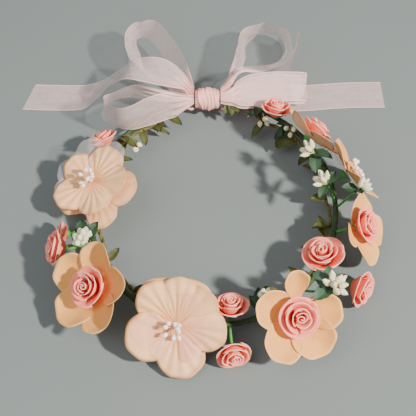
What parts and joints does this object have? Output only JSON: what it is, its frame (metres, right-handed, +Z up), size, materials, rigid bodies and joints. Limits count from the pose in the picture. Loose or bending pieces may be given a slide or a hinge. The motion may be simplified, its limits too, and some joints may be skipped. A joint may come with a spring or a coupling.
{
  "type": "flower crown",
  "caption": "Open wire hoop for the head, set with layered fabric blossoms, foam roses, pearl stamens, bud sprays and leaves, and closed by a sheer ribbon bow.",
  "frame": {"origin": "centre of the oval hoop, at the level of the surface that the crown lies on", "axes": "+X across the head to the wearer's left as the bow faces back, +Y to the back, where the bow is tied, +Z up"},
  "size_m": [0.259, 0.2884, 0.0493],
  "materials": {
    "wire": "plain drawn wire",
    "floral_tape": "waxed crepe tape, green",
    "vine": "matt twisted paper cord with olive leaves",
    "leaf": "matt woven leaf fabric, dark green",
    "calyx": "matt green",
    "cream_petal": "starched fabric, cream to peach",
    "tan_petal": "starched fabric, peach to ochre",
    "white_organza": "sheer white organza",
    "pearl": "pearl lacquer",
    "foam_rose": "matt foam sheet, coral pink",
    "bud_spray": "ivory foam buds and green leaves on a green wire stem",
    "ribbon": "sheer pale pink organza with woven edges"
  },
  "bodies": {
    "crown": {"hoop_wire": "wire", "hoop_tape_wrap": "floral_tape", "vine_left": "vine", "vine_right": "vine", "sprig_beside_knot": "leaf", "sprig_back": "leaf", "sprig_right_back": "leaf", "sprig_left": "leaf", "sprig_front": "leaf", "front_blossom_calyx": "calyx", "front_blossom_back_petals": "cream_petal", "front_blossom_petals": "cream_petal", "front_blossom_organza": "white_organza", "front_blossom_pearls": "pearl", "left_blossom_calyx": "calyx", "left_blossom_back_petals": "cream_petal", "left_blossom_petals": "cream_petal", "left_blossom_organza": "white_organza", "left_blossom_pearls": "pearl", "left_front_blossom_calyx": "calyx", "left_front_blossom_petals": "tan_petal", "left_front_blossom_rose": "foam_rose", "right_front_blossom_calyx": "calyx", "right_front_blossom_petals": "tan_petal", "right_front_blossom_rose": "foam_rose", "right_blossom_calyx": "calyx", "right_blossom_petals": "tan_petal", "right_blossom_rose": "foam_rose", "right_back_blossom_calyx": "calyx", "right_back_blossom_petals": "tan_petal", "right_back_blossom_organza": "white_organza", "right_back_blossom_pearls": "pearl", "back_blossom_calyx": "calyx", "back_blossom_petals": "cream_petal", "back_blossom_rose": "foam_rose", "rose_front_upper": "foam_rose", "rose_front_lower": "foam_rose", "rose_left_outer": "foam_rose", "rose_left_upper": "foam_rose", "rose_left_lower": "foam_rose", "rose_upper_left": "foam_rose", "rose_right_inner": "foam_rose", "rose_right_outer": "foam_rose", "rose_back": "foam_rose", "ribbon_knot": "ribbon", "ribbon_tie": "ribbon", "ribbon_loop_left_lower": "ribbon", "ribbon_loop_left_upper": "ribbon", "ribbon_loop_right_upper": "ribbon", "ribbon_loop_right_flat": "ribbon", "ribbon_tail_left": "ribbon", "ribbon_tail_short": "ribbon", "ribbon_tail_right": "ribbon"},
    "back_spray": {"spray_back": "bud_spray"},
    "right_back_spray": {"spray_right_back": "bud_spray"},
    "right_spray": {"spray_right": "bud_spray"},
    "right_front_spray": {"spray_right_front": "bud_spray"},
    "left_spray": {"spray_left": "bud_spray"}
  },
  "joints": [
    {"name": "spray_back_bend", "type": "hinge", "parent": "crown", "child": "back_spray", "pos_m": [0.07353, 0.03205, 0.01642], "axis": [-0.3305, 0.9438, 0], "range_deg": [-25, 10]},
    {"name": "spray_right_back_bend", "type": "hinge", "parent": "crown", "child": "right_back_spray", "pos_m": [0.0791, 0.00011, 0.01637], "axis": [0, 1, 0], "range_deg": [-25, 20]},
    {"name": "spray_right_bend", "type": "hinge", "parent": "crown", "child": "right_spray", "pos_m": [0.08118, -0.00328, 0.01622], "axis": [0.031, 0.9995, 0], "range_deg": [-6, 12]},
    {"name": "spray_right_front_bend", "type": "hinge", "parent": "crown", "child": "right_front_spray", "pos_m": [0.05583, -0.06681, 0.016], "axis": [0.69, 0.7238, 0], "range_deg": [-12, 4]},
    {"name": "spray_left_bend", "type": "hinge", "parent": "crown", "child": "left_spray", "pos_m": [-0.07335, -0.03839, 0.01633], "axis": [0.3829, -0.9238, 0], "range_deg": [-20, 22]}
  ]
}
